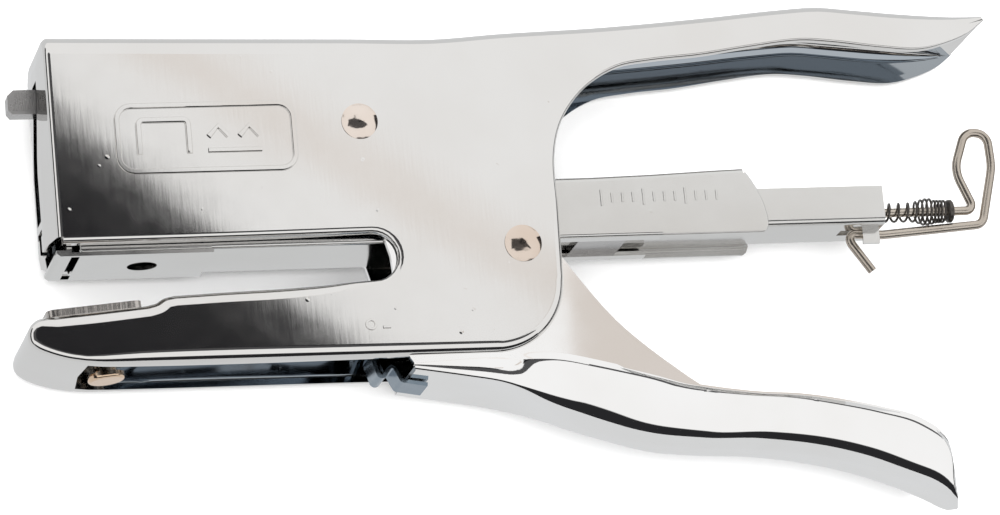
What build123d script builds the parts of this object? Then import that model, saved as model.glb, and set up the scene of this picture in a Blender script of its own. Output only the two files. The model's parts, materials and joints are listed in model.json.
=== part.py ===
"""Plier stapler: a folded sheet frame, a squeeze handle, a dipping magazine and a wire pusher.

The stapler lies on its side. Millimetres. The origin is on the axis of the pivot rivet, at the
level of the surface it lies on. +X runs along the magazine to the handle ends, +Y runs from the
anvil to the spine, and +Z is across the stapler.
"""
import os

from build123d import *

os.makedirs("parts", exist_ok=True)

# ---- across the stapler -------------------------------------------------------------------
Z_MID = 11.0
SHEET = 1.0
FRAME_HALF = 9.8
SIDE_HALF_INNER = FRAME_HALF - SHEET
EAR_HALF = 8.5
EAR_HALF_INNER = EAR_HALF - SHEET
CHANNEL_HALF = 7.2
CHANNEL_WALL = 0.7
CHANNEL_HALF_INNER = CHANNEL_HALF - CHANNEL_WALL
RAIL_HALF = 5.8
RAIL_WALL = 0.7
GRIP_HALF = 9.3
GRIP_WALL = 1.2
GRIP_BEND = 4.8

# ---- frame --------------------------------------------------------------------------------
SPINE_BEND = 3.5
HEAD_FRONT = -50.0
HEAD_BOTTOM = -18.6
NOSE_RISE = 1.2
TONGUE_SLOT_HALF = 2.0
TONGUE_SLOT_TOP = 10.4
TONGUE_SLOT_BOTTOM = -12.9
GUIDE_SLOT_TOP = -14.2
GUIDE_SLOT_HALF = 1.0
REAR_EDGE = 31.3
REAR_CORNER = 12.0
FRAME_BOTTOM = -38.6
JAW_FRONT = -55.6
SEAT_LEVEL = -30.3
THROAT_RADIUS = 3.9
THROAT_CENTRE = (0.5, -22.3)
FLANGE = 1.3

# ---- rivets -------------------------------------------------------------------------------
MAGAZINE_PIVOT = (24.9, -21.0)
RIVET_SHANK = 2.2
RIVET_HEAD = 2.95
RIVET_RISE = 1.2
RIVET_HOLE_GAP = 0.02
RUNNING_GAP = 0.06

# ---- magazine -----------------------------------------------------------------------------
CHANNEL_FRONT = -46.1
CHANNEL_END = 66.0
CHANNEL_TOP = -9.5
CHANNEL_BOTTOM = -19.6
RAIL_TOP = -11.9
RAIL_BOTTOM = -18.2
RAIL_END = 87.0
NOSE_PLATE_FRONT = -48.2
NOSE_PLATE_BACK = -47.4
TOE_FRONT = -49.8
TOE_LEVEL = -20.2
TOE_END = -24.7
SIGHT_HOLE = (-35.2, 2.4)

# ---- driver -------------------------------------------------------------------------------
BLADE_FRONT = -47.2
BLADE_WALL = 0.8
BLADE_HALF = 6.3
BLADE_TOP = 10.4
BLADE_BOTTOM = -11.2

# ---- pusher -------------------------------------------------------------------------------
WIRE_RADIUS = 0.75
ROD_LEVEL = -15.0
ROD_FRONT = -43.0
SEAT_AT = 99.4
SPRING_SEAT_RADIUS = 1.9
SPRING_SEAT_THICK = 0.9
COIL_RADIUS = 1.45
COIL_WIRE = 0.22
FOLLOWER_FRONT = -45.0
FOLLOWER_LENGTH = 12.0


def slab(outline, z_range):
    """A plate across z_range with the given corner points."""
    with BuildPart() as made:
        with BuildSketch(Plane.XY.offset(z_range[0])):
            with BuildLine():
                Polyline(*outline, close=True)
            make_face()
        extrude(amount=z_range[1] - z_range[0])
    return made.part


def block(x_range, y_range, z_range):
    """A square-edged block from its limits."""
    size = [high - low for low, high in (x_range, y_range, z_range)]
    middle = [(high + low) / 2 for low, high in (x_range, y_range, z_range)]
    with BuildPart() as made:
        with Locations(tuple(middle)):
            Box(*size)
    return made.part


def cross_pin(centre, radius, z_range):
    """A round bar across the stapler."""
    with BuildPart() as made:
        with BuildSketch(Plane.XY.offset(z_range[0])):
            with Locations(centre):
                Circle(radius)
        extrude(amount=z_range[1] - z_range[0])
    return made.part


def layer(half_in, half_out, side):
    """Limits of a layer on one side of the middle plane, side is 1 (near) or -1 (far)."""
    ends = (Z_MID + side * half_in, Z_MID + side * half_out)
    return (min(ends), max(ends))


def across(half):
    """Limits of a layer centred on the middle plane."""
    return (Z_MID - half, Z_MID + half)


def raised(points, rise):
    """The same run of points, moved up."""
    return [(x, y + rise) for x, y in points]


def finish(made, label):
    """Name a piece and write it out."""
    made.label = label
    export_step(made, "parts/" + label + ".step")
    print(label, len(made.solids()), round(made.volume, 1))


# ---- main frame ---------------------------------------------------------------------------
SPINE_LINE = [(-49.8, 15.9), (13.5, 14.4)]
SPINE_CURVE = [(13.5, 14.4), (25.0, 15.1), (41.9, 15.8), (58.8, 17.0), (72.5, 18.2), (78.5, 18.5),
               (84.5, 17.9), (93.0, 17.0), (101.5, 16.0), (106.2, 15.6)]
UNDER_CURVE = [(103.6, 12.7), (100.1, 11.2), (95.0, 10.0), (88.0, 10.5), (80.0, 11.6), (74.6, 12.0),
               (66.0, 11.1), (57.4, 9.9), (49.3, 9.2), (43.4, 8.2), (37.7, 4.9), (33.4, -0.5),
               (31.6, -6.0)]
JAW_NOSE = [(-44.0, FRAME_BOTTOM + 0.3), (-49.5, -37.5), (-53.2, -36.2), (-55.3, -34.6),
            (JAW_FRONT, -33.0), (-55.0, -31.2), (-53.6, SEAT_LEVEL)]
JAW_STEP = [(-35.6, -28.8), (-33.6, -27.4), (0.5, -26.2)]
HANDLE_TIP = [(106.6, 14.9), (103.6, 12.7)]
JAW_HEM = [(-50.0, -37.3), (-44.0, -38.3), (-2.0, -38.6), (-2.0, -37.6), (-44.0, -37.3), (-50.0, -36.3)]
HEM_WIDTH = 2.6
LIP = 2.0
CORNER_START = (REAR_EDGE, FRAME_BOTTOM + REAR_CORNER)
CORNER_END = (REAR_EDGE - REAR_CORNER, FRAME_BOTTOM)
ANVIL_RIVET_X = -43.0
SEAT_AT_RIVET = -29.42
SEAT_PLANE = Plane(origin=(ANVIL_RIVET_X, SEAT_AT_RIVET, Z_MID), x_dir=(0.9965, 0.0833, 0),
                   z_dir=(-0.0833, 0.9965, 0))
SEAT_FLANGE_END = -30.0
JAW_FLANGE_END = -13.0
JAW_FLANGE_WIDTH = 3.6

with BuildPart() as main_frame:
    with BuildSketch(Plane.XY.offset(Z_MID - FRAME_HALF)):
        with BuildLine():
            Polyline((0.5, HEAD_BOTTOM), (HEAD_FRONT, HEAD_BOTTOM), (HEAD_FRONT, 15.0), *SPINE_LINE)
            Spline(*SPINE_CURVE)
            Polyline(SPINE_CURVE[-1], *HANDLE_TIP)
            Spline(HANDLE_TIP[-1], *UNDER_CURVE[1:])
            Line(UNDER_CURVE[-1], CORNER_START)
            RadiusArc(CORNER_START, CORNER_END, REAR_CORNER)
            Polyline(CORNER_END, *JAW_NOSE, *JAW_STEP, (0.5, HEAD_BOTTOM))
        make_face()
    extrude(amount=2 * FRAME_HALF)
    # The throat ends in a round notch between head and jaw.
    add(cross_pin(THROAT_CENTRE, THROAT_RADIUS, (0.0, 2 * Z_MID)), mode=Mode.SUBTRACT)
    # The spine is folded with a soft bend along both sides.
    long_top_edges = main_frame.edges().filter_by_position(Axis.Y, 13.5, 19.0).filter_by(
        lambda edge: edge.length > 30)
    fillet(long_top_edges, SPINE_BEND)
    # The hollow of the head and of the upper handle, open below.
    with BuildSketch(Plane.XY.offset(Z_MID - SIDE_HALF_INNER)):
        with BuildLine():
            Polyline((104.0, 0.0), (33.0, -45.0), (-11.0, -45.0), (-11.0, -17.0), (-54.0, -17.0),
                     (-54.0, 14.6), SPINE_LINE[0][:1] + (14.9,), (13.5, 13.4))
            Spline(*raised(SPINE_CURVE[:-1], -SHEET))
            Polyline((101.5, 15.0), (104.6, 14.3), (104.0, 0.0))
        make_face()
    extrude(amount=2 * SIDE_HALF_INNER, mode=Mode.SUBTRACT)
    # The hollow of the jaw, open below, under a closed anvil seat.
    add(slab([(-54.6, -45.0), (-54.6, -32.6), (-53.4, SEAT_LEVEL - SHEET), (-35.2, -29.9),
              (-33.2, -28.4), (-10.0, -27.6), (-10.0, -45.0)], across(SIDE_HALF_INNER)),
        mode=Mode.SUBTRACT)
    add(slab([(SEAT_FLANGE_END, -25.0), (SEAT_FLANGE_END, -32.0), (-10.0, -32.0), (-10.0, -25.0)],
             across(SIDE_HALF_INNER - JAW_FLANGE_WIDTH)), mode=Mode.SUBTRACT)
    add(slab([(JAW_FLANGE_END, -25.0), (JAW_FLANGE_END, -32.0), (-10.0, -32.0), (-10.0, -25.0)],
             across(SIDE_HALF_INNER)), mode=Mode.SUBTRACT)
    # The head is open below except for a narrow flange along each side plate.
    add(block((HEAD_FRONT - 2, -10.0), (HEAD_BOTTOM - 1, -16.5), across(SIDE_HALF_INNER)),
        mode=Mode.SUBTRACT)
    for side in (1, -1):
        flange = layer(SIDE_HALF_INNER - FLANGE, SIDE_HALF_INNER + 0.2, side)
        add(block((HEAD_FRONT + 0.5, -12.0), (HEAD_BOTTOM, HEAD_BOTTOM + SHEET), flange))
    # The front of the head is a blunt ridge with the tongue's slot along its crest.
    with BuildSketch(Plane.XZ.offset(-HEAD_BOTTOM)):
        with BuildLine():
            Polyline((HEAD_FRONT, Z_MID - FRAME_HALF + 0.4),
                     (HEAD_FRONT - NOSE_RISE, Z_MID - TONGUE_SLOT_HALF - 1.0),
                     (HEAD_FRONT - NOSE_RISE, Z_MID + TONGUE_SLOT_HALF + 1.0),
                     (HEAD_FRONT, Z_MID + FRAME_HALF - 0.4),
                     (HEAD_FRONT + SHEET, Z_MID + FRAME_HALF - 0.4),
                     (HEAD_FRONT - NOSE_RISE + SHEET, Z_MID + TONGUE_SLOT_HALF + 1.0),
                     (HEAD_FRONT - NOSE_RISE + SHEET, Z_MID - TONGUE_SLOT_HALF - 1.0),
                     (HEAD_FRONT + SHEET, Z_MID - FRAME_HALF + 0.4), close=True)
        make_face()
    extrude(amount=-(15.3 - HEAD_BOTTOM))
    add(block((-53.0, -49.0), (TONGUE_SLOT_BOTTOM, TONGUE_SLOT_TOP), across(TONGUE_SLOT_HALF)),
        mode=Mode.SUBTRACT)
    add(block((-53.0, -49.0), (HEAD_BOTTOM - 1, GUIDE_SLOT_TOP), across(GUIDE_SLOT_HALF)),
        mode=Mode.SUBTRACT)
    # The jaw's lower edges and the upper handle's rim are turned inwards.
    for side in (1, -1):
        add(slab(JAW_HEM, layer(SIDE_HALF_INNER - HEM_WIDTH, SIDE_HALF_INNER + 0.2, side)))
        with BuildSketch(Plane.XY.offset(layer(SIDE_HALF_INNER - LIP, SIDE_HALF_INNER + 0.2, side)[0])):
            with BuildLine():
                Spline(*UNDER_CURVE[1:10])
                Line(UNDER_CURVE[9], raised(UNDER_CURVE, SHEET)[9])
                Spline(*raised(UNDER_CURVE[1:10], SHEET))
                Line(raised(UNDER_CURVE, SHEET)[1], UNDER_CURVE[1])
            make_face()
        extrude(amount=LIP + 0.2)
    # Rivet holes through both side plates.
    for centre in ((0.0, 0.0), MAGAZINE_PIVOT):
        add(cross_pin(centre, RIVET_SHANK + RIVET_HOLE_GAP, (0.0, 2 * Z_MID)), mode=Mode.SUBTRACT)
    # Hole for the anvil rivet in the seat.
    with Locations(SEAT_PLANE):
        Cylinder(1.9, 8.0, mode=Mode.SUBTRACT)
finish(main_frame.part, "main_frame")

# ---- anvil --------------------------------------------------------------------------------
ANVIL_FRONT = -52.0
ANVIL_END = -36.8
ANVIL_THICK = 1.2
ANVIL_HALF = 7.4
ANVIL_SHANK = 1.85
ANVIL_TENON = ANVIL_SHANK - 0.42
ANVIL_RIVET_HEAD = 3.0
ANVIL_RIVET_DEPTH = 8.4
ANVIL_HEAD_THICK = 1.1
CRIMP_LENGTH = 6.2
CRIMP_WIDTH = 1.6
CRIMP_DEPTH = 0.5
CRIMP_OFFSET = 3.4
CRIMP_AT = -5.5
SEAT_GAP = 0.02

with BuildPart() as anvil_plate:
    with BuildSketch(SEAT_PLANE.offset(SEAT_GAP)):
        with Locations(((ANVIL_FRONT + ANVIL_END) / 2 - ANVIL_RIVET_X, 0)):
            RectangleRounded(ANVIL_END - ANVIL_FRONT, 2 * ANVIL_HALF, 1.2)
    extrude(amount=ANVIL_THICK)
    # Two crimp pockets that curl the staple legs.
    with BuildSketch(SEAT_PLANE.offset(SEAT_GAP + ANVIL_THICK)):
        with Locations((CRIMP_AT, CRIMP_OFFSET), (CRIMP_AT, -CRIMP_OFFSET)):
            SlotOverall(CRIMP_LENGTH, CRIMP_WIDTH, rotation=90)
    extrude(amount=-CRIMP_DEPTH, mode=Mode.SUBTRACT)
    with BuildSketch(SEAT_PLANE.offset(SEAT_GAP)):
        Circle(ANVIL_TENON + 0.02)
    extrude(amount=ANVIL_THICK, mode=Mode.SUBTRACT)
finish(anvil_plate.part, "anvil_plate")

with BuildPart() as anvil_rivet:
    with BuildSketch(SEAT_PLANE):
        Circle(ANVIL_TENON)
    extrude(amount=ANVIL_THICK)
    with BuildSketch(SEAT_PLANE):
        Circle(ANVIL_SHANK)
    extrude(amount=-ANVIL_RIVET_DEPTH)
    with BuildSketch(SEAT_PLANE.offset(-ANVIL_RIVET_DEPTH)):
        Circle(ANVIL_RIVET_HEAD)
    extrude(amount=-ANVIL_HEAD_THICK)
    fillet(anvil_rivet.faces().sort_by(Axis.Y)[0].edges(), 0.5)
finish(anvil_rivet.part, "anvil_rivet")


# ---- rivets across the frame ----------------------------------------------------------------
def dome_rivet(centre, shank, head):
    """A rivet with a domed near head and a flat-ended far head."""
    with BuildPart() as made:
        add(cross_pin(centre, shank, (0.6, 2 * Z_MID - 0.6)))
        add(cross_pin(centre, head, (0.0, Z_MID - FRAME_HALF)))
        add(cross_pin(centre, head, (Z_MID + FRAME_HALF, Z_MID + FRAME_HALF + RIVET_RISE)))
        far_end = made.faces().sort_by(Axis.Z)[0]
        near_end = made.faces().sort_by(Axis.Z)[-1]
        chamfer(far_end.edges(), 0.5)
        fillet(near_end.edges(), 1.0)
    return made.part


finish(dome_rivet((0.0, 0.0), RIVET_SHANK, RIVET_HEAD), "pivot_rivet")
finish(dome_rivet(MAGAZINE_PIVOT, RIVET_SHANK, RIVET_HEAD + 0.08), "magazine_rivet")

# ---- squeeze handle -----------------------------------------------------------------------
WEB_CURVE = [(6.4, -40.9), (14.5, -42.4), (22.6, -44.4), (28.0, -46.8), (32.5, -49.2), (37.4, -51.1),
             (45.5, -53.2), (53.0, -54.1), (62.0, -54.7), (70.3, -55.8), (78.5, -57.8), (86.7, -60.9),
             (95.6, -65.4)]
RIM_CURVE = [(95.6, -65.4), (94.6, -61.0), (93.4, -57.1), (91.7, -54.8), (86.5, -51.1), (81.6, -49.6),
             (75.0, -48.1), (68.5, -47.0), (60.1, -46.3), (51.6, -45.2), (45.2, -43.5), (35.6, -40.9),
             (28.9, -39.7), (23.5, -40.0)]
WEB_INNER = [(30.0, -46.4), (32.5, -47.8), (37.4, -49.8), (45.5, -51.9), (53.0, -52.8), (62.0, -53.4),
             (70.3, -54.5), (78.5, -56.4), (86.0, -59.1), (92.4, -62.2)]
RIM_INNER = [(92.4, -62.2), (91.9, -58.0), (90.2, -55.6), (85.8, -52.4), (81.2, -51.0), (74.7, -49.5),
             (68.3, -48.4), (60.1, -47.7), (51.6, -46.5), (45.2, -44.9), (35.6, -42.3), (30.0, -41.2)]
SPREAD_START = [(23.5, -40.0), (20.0, -41.5), (22.6, -44.4)]
EAR_OUTLINE = [(5.6, -41.0), (3.6, -36.0), (3.9, -22.0), (-5.0, -4.5), (-5.6, 2.0), (-2.0, 5.6),
               (12.0, 7.0), (16.0, 3.0), (29.6, -18.0), (31.7, -24.5), (36.9, -30.5), (41.8, -36.5),
               (48.9, -42.5), (55.0, -45.6), (55.0, -47.4), (38.8, -47.4), (24.0, -43.2), (14.5, -41.8)]
RIVET_ORBIT = 32.573
RIVET_ANGLE = -40.143
HANDLE_TRAVEL = 19.0
SLOT_HALF = 2.7
LEVER_PIN_AT = (10.5, 2.6)
LEVER_PIN_RADIUS = 2.0
PIN_PROUD = 0.15

with BuildPart() as trough_hollow:
    with BuildSketch(Plane.XY.offset(Z_MID - GRIP_HALF + GRIP_WALL)):
        with BuildLine():
            Spline(*WEB_INNER)
            Spline(*RIM_INNER)
            Line(RIM_INNER[-1], WEB_INNER[0])
        make_face()
    extrude(amount=2 * (GRIP_HALF - GRIP_WALL))
    fillet(trough_hollow.edges().filter_by(lambda edge: edge.length > 40 and edge.center().Y < -51),
           GRIP_BEND - GRIP_WALL)

with BuildPart() as squeeze_handle:
    # The flared grip.
    with BuildSketch(Plane.XY.offset(Z_MID - GRIP_HALF)):
        with BuildLine():
            Spline(*WEB_CURVE[2:])
            Spline(*RIM_CURVE)
            Polyline(*SPREAD_START)
        make_face()
    extrude(amount=2 * GRIP_HALF)
    lower_edges = squeeze_handle.edges().filter_by(
        lambda edge: edge.length > 40 and edge.center().Y < -51)
    fillet(lower_edges, GRIP_BEND)
    # The narrow front of the web, between the side plates.
    add(slab([(6.2, -39.8), (5.8, -40.9), (14.5, -42.4), (21.9, -44.0), (28.0, -46.4), (28.0, -44.4),
              (14.5, -41.2)], across(EAR_HALF)))
    # The two ears.
    for side in (1, -1):
        add(slab(EAR_OUTLINE, layer(EAR_HALF_INNER, EAR_HALF, side)))
    # The trough is hollow, with its rim turned inwards, and open above between the ears.
    add(trough_hollow.part, mode=Mode.SUBTRACT)
    add(slab([(20.0, -42.2), (30.0, -44.4), (46.9, -49.2), (63.5, -51.2), (71.9, -52.4),
              (82.6, -55.6), (90.4, -58.8), (90.4, -52.0), (72.0, -44.0), (20.0, -30.0)],
             across(EAR_HALF_INNER)), mode=Mode.SUBTRACT)
    # Arc slot that lets the ears swing past the magazine rivet.
    orbit = CenterArc((0, 0), RIVET_ORBIT, RIVET_ANGLE - HANDLE_TRAVEL, HANDLE_TRAVEL,
                      mode=Mode.PRIVATE)
    with BuildSketch(Plane.XY):
        SlotArc(orbit, 2 * SLOT_HALF)
    extrude(amount=2 * Z_MID, mode=Mode.SUBTRACT)
    add(cross_pin((0.0, 0.0), RIVET_SHANK + RUNNING_GAP, (0.0, 2 * Z_MID)), mode=Mode.SUBTRACT)
    add(cross_pin(LEVER_PIN_AT, LEVER_PIN_RADIUS + RIVET_HOLE_GAP, (0.0, 2 * Z_MID)),
        mode=Mode.SUBTRACT)
finish(squeeze_handle.part, "squeeze_handle")

# ---- drive lever and what joins it to the handle --------------------------------------------
LEVER_HALF = 1.5
LEVER_OUTLINE = [(-55.0, 5.8), (-54.4, 5.1), (-50.0, 5.1), (-20.0, 0.4), (-5.0, -4.6), (4.0, -4.6),
                 (13.6, 0.4), (13.6, 5.0), (8.0, 6.2), (-8.0, 6.2), (-30.0, 7.0), (-49.0, 9.1),
                 (-54.0, 9.1), (-55.0, 8.2)]
BUSH_RADIUS = 4.0
SIDE_PLAY = 0.05

with BuildPart() as drive_lever:
    add(slab(LEVER_OUTLINE, across(LEVER_HALF)))
    add(cross_pin((0.0, 0.0), RIVET_SHANK + RUNNING_GAP, (0.0, 2 * Z_MID)), mode=Mode.SUBTRACT)
    add(cross_pin(LEVER_PIN_AT, LEVER_PIN_RADIUS + RIVET_HOLE_GAP, (0.0, 2 * Z_MID)),
        mode=Mode.SUBTRACT)
finish(drive_lever.part, "drive_lever")

finish(cross_pin(LEVER_PIN_AT, LEVER_PIN_RADIUS, across(EAR_HALF + PIN_PROUD)), "lever_pin")

for side, label in ((1, "pivot_bush_near"), (-1, "pivot_bush_far")):
    with BuildPart() as bush:
        bush_layer = layer(LEVER_HALF + SIDE_PLAY, EAR_HALF_INNER - SIDE_PLAY, side)
        add(cross_pin((0.0, 0.0), BUSH_RADIUS, bush_layer))
        add(cross_pin((0.0, 0.0), RIVET_SHANK + RUNNING_GAP, (0.0, 2 * Z_MID)), mode=Mode.SUBTRACT)
    finish(bush.part, label)

# ---- return spring, a blued leaf clipped over the front edge of the handle's web --------------
LEAF = 0.6
LEAF_HALF = 3.0
LEAF_PATH = [(8.8, -41.95), (4.7, -41.2), (3.3, -38.2), (1.3, -41.2), (0.1, -37.0), (3.0, -31.0)]

with BuildPart() as return_spring:
    with BuildSketch(Plane.XY.offset(Z_MID - LEAF_HALF)):
        with BuildLine() as leaf_line:
            FilletPolyline(*LEAF_PATH, radius=0.6)
        trace(leaf_line.line, LEAF)
    extrude(amount=2 * LEAF_HALF)
finish(return_spring.part, "return_spring")

# ---- magazine -------------------------------------------------------------------------------
TAB_RADIUS = 4.2
LIP_WIDTH = 2.6
LIP_END = 48.8
LIP_RUNS = ((-22.0, 20.6), (29.2, LIP_END))
TOP_BEND = 0.9

with BuildPart() as magazine_channel:
    with BuildSketch(Plane.XY.offset(Z_MID - CHANNEL_HALF)):
        with BuildLine():
            Polyline((CHANNEL_FRONT, CHANNEL_BOTTOM), (CHANNEL_FRONT, CHANNEL_TOP),
                     (63.6, CHANNEL_TOP), (65.2, -12.0), (66.6, -16.0), (66.8, -18.4),
                     (66.2, CHANNEL_BOTTOM), close=True)
        make_face()
        with Locations(MAGAZINE_PIVOT):
            Circle(TAB_RADIUS)
    extrude(amount=2 * CHANNEL_HALF)
    fillet(magazine_channel.edges().filter_by(Axis.X).sort_by(Axis.Y)[-2:], TOP_BEND)
    add(block((CHANNEL_FRONT - 1, 70.0), (-26.0, CHANNEL_TOP - CHANNEL_WALL),
              across(CHANNEL_HALF_INNER)), mode=Mode.SUBTRACT)
    add(block((60.0, 70.0), (CHANNEL_TOP - 0.8, -5.0), across(CHANNEL_HALF_INNER)),
        mode=Mode.SUBTRACT)
    for side in (1, -1):
        lip = layer(CHANNEL_HALF_INNER - LIP_WIDTH, CHANNEL_HALF_INNER + 0.1, side)
        for start, end in LIP_RUNS:
            add(block((start, end), (CHANNEL_BOTTOM, CHANNEL_BOTTOM + CHANNEL_WALL), lip))
    add(cross_pin(MAGAZINE_PIVOT, RIVET_SHANK + RUNNING_GAP, (0.0, 2 * Z_MID)), mode=Mode.SUBTRACT)
finish(magazine_channel.part, "magazine_channel")

HOOK_SLOT_START = 80.5
HOOK_SLOT_HALF = 1.4
TAIL_TAB = (84.0, 86.8)
RAIL_BEND = 1.0
FOOT_LENGTH = 8.0

with BuildPart() as core_rail:
    add(block((CHANNEL_FRONT, RAIL_END), (RAIL_BOTTOM, RAIL_TOP), across(RAIL_HALF)))
    fillet(core_rail.edges().filter_by(Axis.X).sort_by(Axis.Y)[:2], RAIL_BEND)
    add(block((CHANNEL_FRONT - 1, RAIL_END + 1), (RAIL_BOTTOM + RAIL_WALL, 0.0),
              across(RAIL_HALF - RAIL_WALL)), mode=Mode.SUBTRACT)
    add(block((HOOK_SLOT_START, RAIL_END + 1), (-20.0, -17.0), across(HOOK_SLOT_HALF)),
        mode=Mode.SUBTRACT)
    add(block(TAIL_TAB, (-20.6, RAIL_BOTTOM + 0.3),
              (Z_MID + HOOK_SLOT_HALF, Z_MID + HOOK_SLOT_HALF + RAIL_WALL)))
finish(core_rail.part, "core_rail")

# Two feet hold the rail at the right height on the channel's lips.
for number, start in enumerate((-18.0, 36.0), start=1):
    with BuildPart() as rail_foot:
        add(block((start, start + FOOT_LENGTH), (CHANNEL_BOTTOM + CHANNEL_WALL, RAIL_BOTTOM),
                  across(CHANNEL_HALF_INNER - 0.3)))
    finish(rail_foot.part, "rail_foot_" + str(number))

with BuildPart() as nose_plate:
    add(slab([(NOSE_PLATE_FRONT, CHANNEL_TOP), (NOSE_PLATE_BACK, CHANNEL_TOP),
              (NOSE_PLATE_BACK, CHANNEL_BOTTOM), (TOE_END, CHANNEL_BOTTOM), (TOE_END, TOE_LEVEL),
              (TOE_FRONT + 0.6, TOE_LEVEL), (TOE_FRONT, TOE_LEVEL + 0.5),
              (TOE_FRONT, HEAD_BOTTOM - 0.6), (NOSE_PLATE_FRONT, HEAD_BOTTOM - 0.6)],
             across(CHANNEL_HALF)))
    # The mouth that the staple leaves through.
    add(block((NOSE_PLATE_BACK, CHANNEL_FRONT), (TOE_LEVEL - 1, CHANNEL_BOTTOM + 1),
              across(CHANNEL_HALF_INNER)), mode=Mode.SUBTRACT)
    with Locations(Plane(origin=(SIGHT_HOLE[0], TOE_LEVEL, Z_MID), z_dir=(0, 1, 0))):
        Cylinder(SIGHT_HOLE[1], 4.0, mode=Mode.SUBTRACT)
finish(nose_plate.part, "nose_plate")

# ---- driver blade ---------------------------------------------------------------------------
WINDOW = (3.6, 9.7)
WINDOW_HALF = 2.0
BLADE_CORNER = 1.5

with BuildPart() as driver_blade:
    add(block((BLADE_FRONT, BLADE_FRONT + BLADE_WALL), (BLADE_BOTTOM, BLADE_TOP),
              across(BLADE_HALF)))
    add(block((BLADE_FRONT - 1, BLADE_FRONT + 2), WINDOW, across(WINDOW_HALF)), mode=Mode.SUBTRACT)
    upper_corners = driver_blade.edges().filter_by(Axis.X).sort_by(Axis.Y)[-2:]
    fillet(upper_corners, BLADE_CORNER)
finish(driver_blade.part, "driver_blade")

# ---- pusher: wire handle, spring seat, spring and follower -----------------------------------
# The wire runs back along the rod, up round the finger loop, forward under the rail and down its
# latch. Each bend has its own radius.
WIRE_PATH = [(ROD_FRONT, ROD_LEVEL), (104.3, ROD_LEVEL), (101.6, -8.0), (104.1, -1.5), (107.9, -1.9),
             (108.1, -7.6), (105.4, -17.4), (88.0, -18.7), (81.9, -18.4), (82.6, -20.2), (85.6, -24.8)]
WIRE_BENDS = [1.1, 5.5, 2.1, 2.1, 9.0, 1.8, 6.0, 0.95, 2.0]

with BuildPart() as wire_handle:
    with BuildLine() as wire_line:
        FilletPolyline(*[(x, y, Z_MID) for x, y in WIRE_PATH], radius=WIRE_BENDS)
    with BuildSketch(Plane(origin=(ROD_FRONT, ROD_LEVEL, Z_MID), z_dir=(1, 0, 0))):
        Circle(WIRE_RADIUS)
    sweep(path=wire_line.line)
finish(wire_handle.part, "wire_handle")

with BuildPart() as spring_seat:
    with BuildSketch(Plane(origin=(SEAT_AT, ROD_LEVEL, Z_MID), z_dir=(1, 0, 0))):
        Circle(SPRING_SEAT_RADIUS)
        Circle(WIRE_RADIUS + RIVET_HOLE_GAP, mode=Mode.SUBTRACT)
    extrude(amount=SPRING_SEAT_THICK)
    chamfer(spring_seat.edges().filter_by(GeomType.CIRCLE).sort_by(SortBy.RADIUS)[-2:], 0.2)
finish(spring_seat.part, "spring_seat")

FOLLOWER_END = FOLLOWER_FRONT + FOLLOWER_LENGTH
SPRING_START = FOLLOWER_END + COIL_WIRE + 0.06
SPRING_END = SEAT_AT - COIL_WIRE - 0.04
COIL_PITCH = 4.2

with BuildPart() as pusher_spring:
    with BuildLine() as coil_line:
        Helix(COIL_PITCH, SPRING_END - SPRING_START, COIL_RADIUS,
              center=(SPRING_START, ROD_LEVEL, Z_MID), direction=(1, 0, 0))
    with BuildSketch(Plane(origin=coil_line.line @ 0, z_dir=coil_line.line % 0)):
        Circle(COIL_WIRE)
    sweep(path=coil_line.line, is_frenet=True)
finish(pusher_spring.part, "pusher_spring")

FOLLOWER_HALF = RAIL_HALF - RAIL_WALL - 0.25
PUSH_HEAD = (FOLLOWER_FRONT, FOLLOWER_FRONT + 5.0)

with BuildPart() as follower_block:
    add(block((FOLLOWER_FRONT, FOLLOWER_END), (RAIL_BOTTOM + RAIL_WALL + 0.3, RAIL_TOP),
              across(FOLLOWER_HALF)))
    # The head overhangs the rail and pushes the staple crowns.
    add(block(PUSH_HEAD, (RAIL_TOP + 0.2, CHANNEL_TOP - CHANNEL_WALL - 0.3),
              across(RAIL_HALF)))
    add(block(PUSH_HEAD, (RAIL_TOP - 0.2, RAIL_TOP + 0.4),
              across(FOLLOWER_HALF)))
    with Locations(Plane(origin=(FOLLOWER_FRONT, ROD_LEVEL, Z_MID), z_dir=(1, 0, 0))):
        Cylinder(WIRE_RADIUS + RUNNING_GAP, 4 * FOLLOWER_LENGTH, mode=Mode.SUBTRACT)
finish(follower_block.part, "follower_block")
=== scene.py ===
"""Studio scene of the plier stapler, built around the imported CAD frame.

The stapler's shapes are in millimetres: x along the magazine, y from the anvil to the spine, and h
across the stapler from its middle plane. They are turned into metres when a piece is made. The studio
round it is in metres.
"""
import json
import math

import bmesh
import bpy
import numpy as np
from mathutils import Matrix, Vector


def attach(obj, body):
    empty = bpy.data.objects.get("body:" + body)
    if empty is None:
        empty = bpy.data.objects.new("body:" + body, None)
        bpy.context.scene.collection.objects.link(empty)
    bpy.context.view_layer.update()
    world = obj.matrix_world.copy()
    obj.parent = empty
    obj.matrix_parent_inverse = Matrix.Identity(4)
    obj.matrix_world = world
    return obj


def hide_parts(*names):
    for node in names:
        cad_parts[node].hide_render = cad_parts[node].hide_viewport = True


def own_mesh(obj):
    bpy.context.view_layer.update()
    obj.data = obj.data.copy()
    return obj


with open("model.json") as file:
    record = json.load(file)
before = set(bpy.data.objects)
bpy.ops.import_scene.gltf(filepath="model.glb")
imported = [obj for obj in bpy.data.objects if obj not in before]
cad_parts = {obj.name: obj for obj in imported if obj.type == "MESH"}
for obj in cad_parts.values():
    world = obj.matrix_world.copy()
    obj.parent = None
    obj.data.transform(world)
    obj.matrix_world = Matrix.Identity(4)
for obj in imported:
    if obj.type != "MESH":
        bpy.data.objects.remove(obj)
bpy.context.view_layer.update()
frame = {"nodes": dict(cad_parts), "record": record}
nodes = frame["nodes"]
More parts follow.
